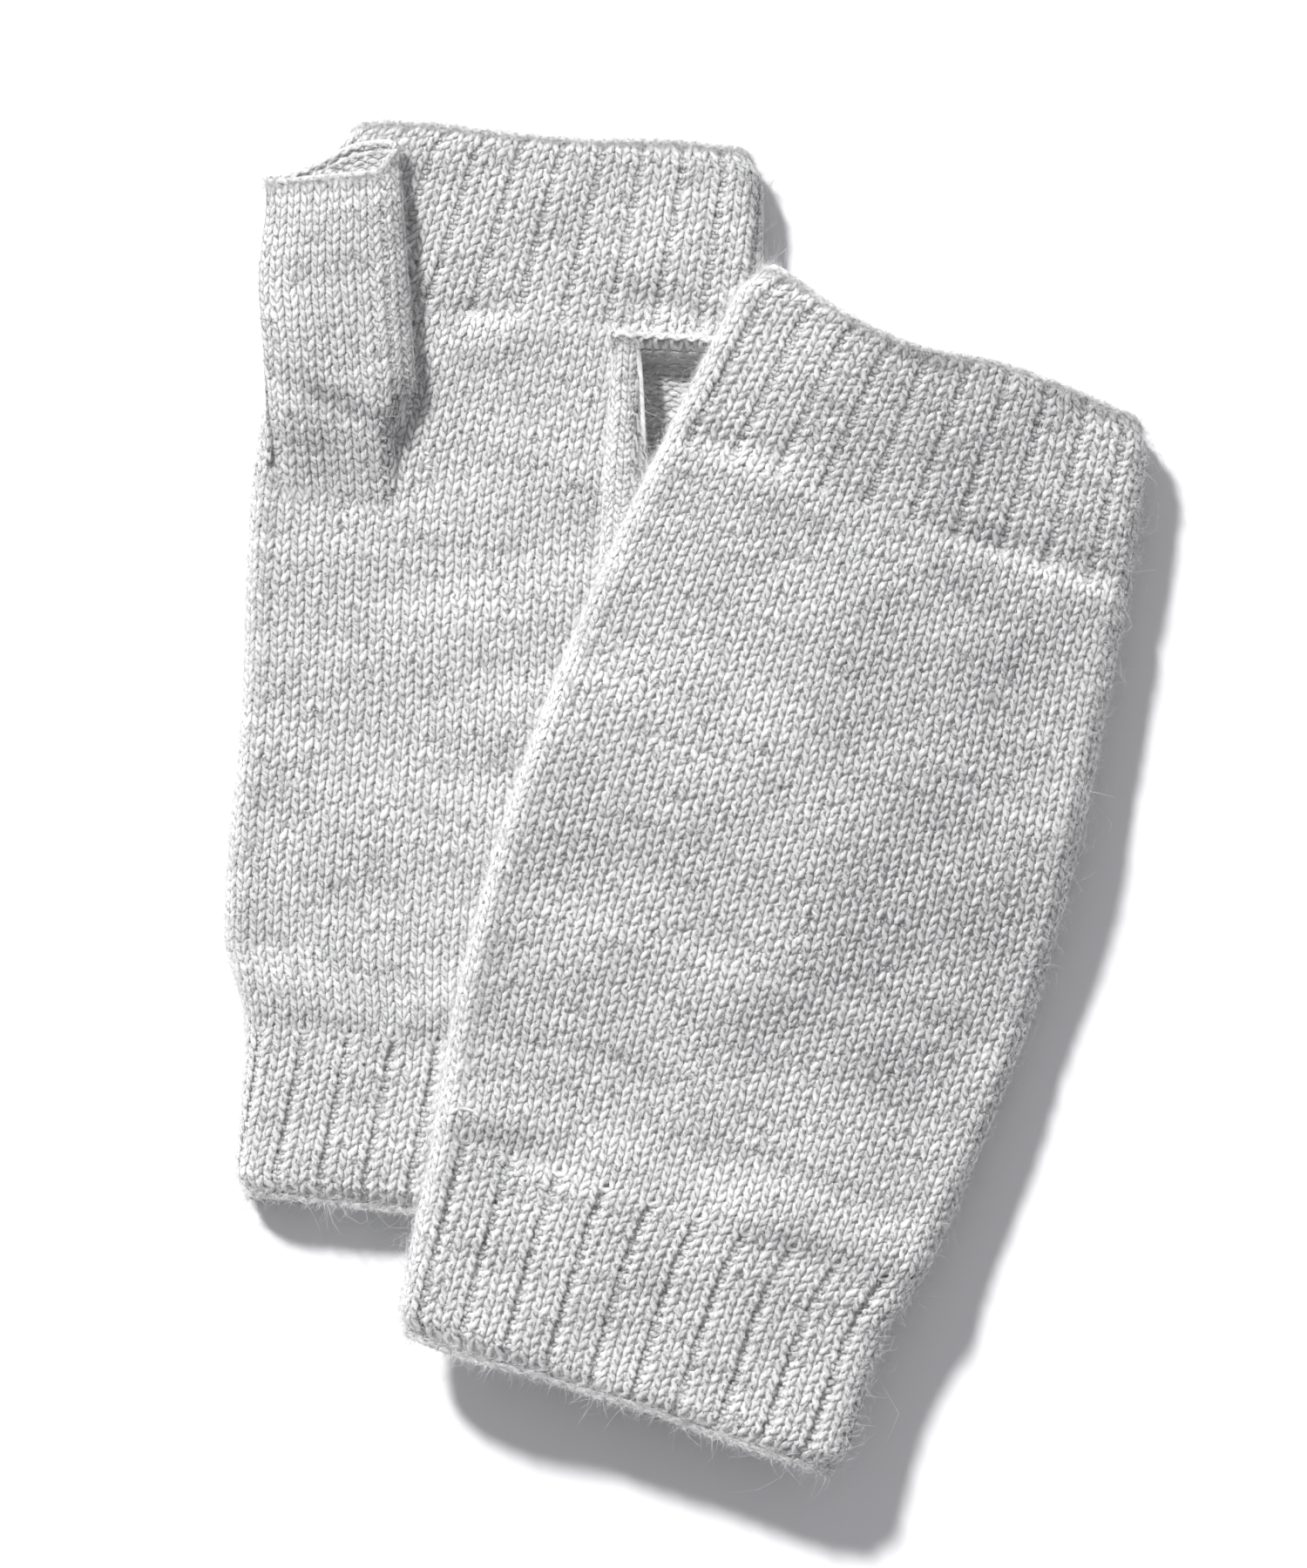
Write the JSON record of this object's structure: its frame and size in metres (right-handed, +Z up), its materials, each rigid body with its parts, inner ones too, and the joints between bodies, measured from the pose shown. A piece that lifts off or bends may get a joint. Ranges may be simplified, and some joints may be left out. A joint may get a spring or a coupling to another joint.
{
  "type": "fingerless gloves",
  "caption": "Pair of knitted fingerless gloves laid flat, one across the other, with ribbed wrists and finger ends and open thumb tubes.",
  "frame": {"origin": "centre of the pair's bounding box, on the floor", "axes": "+Y points from the wrists towards the finger ends as the pair lies, +X to the right seen from above, +Z up from the floor"},
  "size_m": [0.1706, 0.2514, 0.0248],
  "materials": {
    "plain_knit": "soft melange knit with a fine halo of fibres",
    "rib_knit": "soft melange rib knit",
    "edge_yarn": "two-ply melange yarn"
  },
  "bodies": {
    "left_hand": {"left_wrist_edge": "edge_yarn", "left_wrist_rib": "rib_knit", "left_hand_tube": "plain_knit", "left_finger_rib": "rib_knit", "left_finger_edge": "edge_yarn", "left_side_seam": "edge_yarn", "left_crotch_darn": "edge_yarn"},
    "left_thumb": {"left_thumb_tube": "plain_knit", "left_thumb_seam": "edge_yarn", "left_thumb_edge": "edge_yarn"},
    "right_hand": {"right_wrist_edge": "edge_yarn", "right_wrist_rib": "rib_knit", "right_hand_tube": "plain_knit", "right_finger_rib": "rib_knit", "right_finger_edge": "edge_yarn", "right_side_seam": "edge_yarn", "right_crotch_darn": "edge_yarn", "right_darned_end": "edge_yarn"},
    "right_thumb": {"right_thumb_tube": "plain_knit", "right_thumb_seam": "edge_yarn", "right_thumb_edge": "edge_yarn"}
  },
  "joints": [
    {"name": "left_thumb_swing", "type": "hinge", "parent": "left_hand", "child": "left_thumb", "pos_m": [-0.06354, 0.06462, 0.0084], "axis": [0, 0, 1], "range_deg": [0, 40]},
    {"name": "right_glove_lift", "type": "slide", "parent": "left_hand", "child": "right_hand", "axis": [0, 0, 1], "range_m": [0, 0.08]},
    {"name": "right_thumb_swing", "type": "hinge", "parent": "right_hand", "child": "right_thumb", "pos_m": [-0.00254, 0.03582, 0.0164], "axis": [0, 0, 1], "range_deg": [0, 40]}
  ]
}
